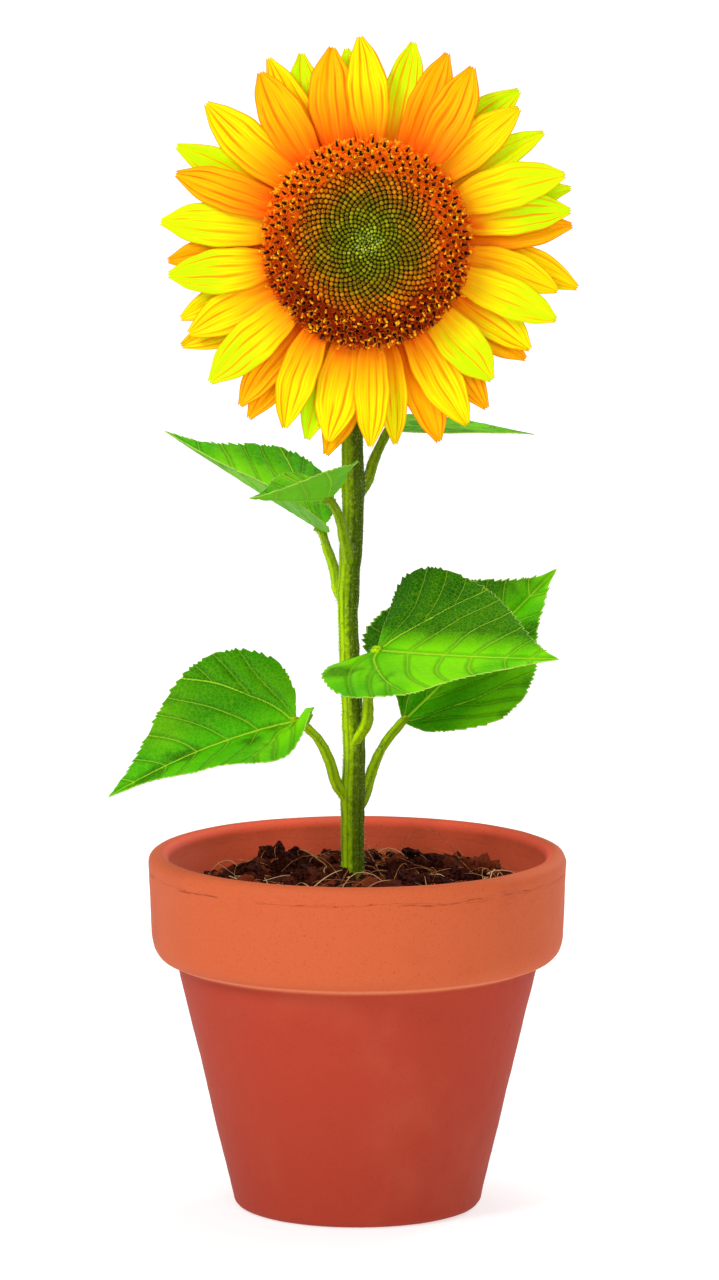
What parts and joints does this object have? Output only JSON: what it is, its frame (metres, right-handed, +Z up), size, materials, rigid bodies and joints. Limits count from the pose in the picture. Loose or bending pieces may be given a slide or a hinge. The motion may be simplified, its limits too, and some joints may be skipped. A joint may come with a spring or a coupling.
{
  "type": "potted sunflower plant",
  "caption": "Single-stemmed sunflower with broad heart-shaped leaves and one large open flower head, growing in a rimmed round terracotta pot of soil.",
  "frame": {"origin": "centre of the flat underside of the pot", "axes": "+Z up along the pot's axis and the stem, -Y towards the front, where the flower looks, +X to its viewer's right"},
  "size_m": [0.2236, 0.2, 0.5642],
  "materials": {
    "terracotta": "matt fired clay, unglazed, with fine pits",
    "soil": "moist crumbly potting mix with bark and coir",
    "stem_green": "ribbed, covered in short stiff hairs",
    "leaf_green": "soft satin leaf with pale raised veins",
    "calyx_green": "rough hairy bracts",
    "florets": "packed buds and open florets with pollen",
    "petal_lemon": "satin petal, lemon yellow",
    "petal_gold": "satin petal, golden yellow",
    "petal_orange": "satin petal, orange yellow"
  },
  "bodies": {
    "root": {"pot": "terracotta", "soil": "soil", "stem": "stem_green", "petiole_lower_left": "stem_green", "leaf_lower_left": "leaf_green", "petiole_lower_right": "stem_green", "leaf_lower_right": "leaf_green", "petiole_middle_right": "stem_green", "leaf_middle_right": "leaf_green", "petiole_upper_left_back": "stem_green", "leaf_upper_left_back": "leaf_green", "petiole_upper_left_front": "stem_green", "leaf_upper_left_front": "leaf_green", "petiole_upper_right": "stem_green", "leaf_upper_right": "leaf_green", "calyx": "calyx_green", "disc": "florets", "ray_01": "petal_gold", "ray_02": "petal_lemon", "ray_03": "petal_orange", "ray_04": "petal_orange", "ray_05": "petal_lemon", "ray_06": "petal_gold", "ray_07": "petal_lemon", "ray_08": "petal_lemon", "ray_09": "petal_lemon", "ray_10": "petal_lemon", "ray_11": "petal_orange", "ray_12": "petal_gold", "ray_13": "petal_gold", "ray_14": "petal_lemon", "ray_15": "petal_gold", "ray_16": "petal_orange", "ray_17": "petal_lemon", "ray_18": "petal_orange", "ray_19": "petal_gold", "ray_20": "petal_orange", "ray_21": "petal_gold", "ray_22": "petal_gold", "ray_23": "petal_orange", "ray_24": "petal_gold", "ray_25": "petal_lemon", "ray_26": "petal_gold", "ray_27": "petal_orange", "ray_28": "petal_orange", "ray_29": "petal_lemon", "ray_30": "petal_gold", "ray_31": "petal_gold", "ray_32": "petal_gold", "ray_33": "petal_lemon", "ray_34": "petal_orange", "ray_35": "petal_lemon", "ray_36": "petal_orange", "ray_37": "petal_lemon", "ray_38": "petal_gold", "ray_39": "petal_orange", "ray_40": "petal_gold", "ray_41": "petal_lemon", "ray_42": "petal_orange", "ray_43": "petal_lemon"}
  },
  "joints": []
}
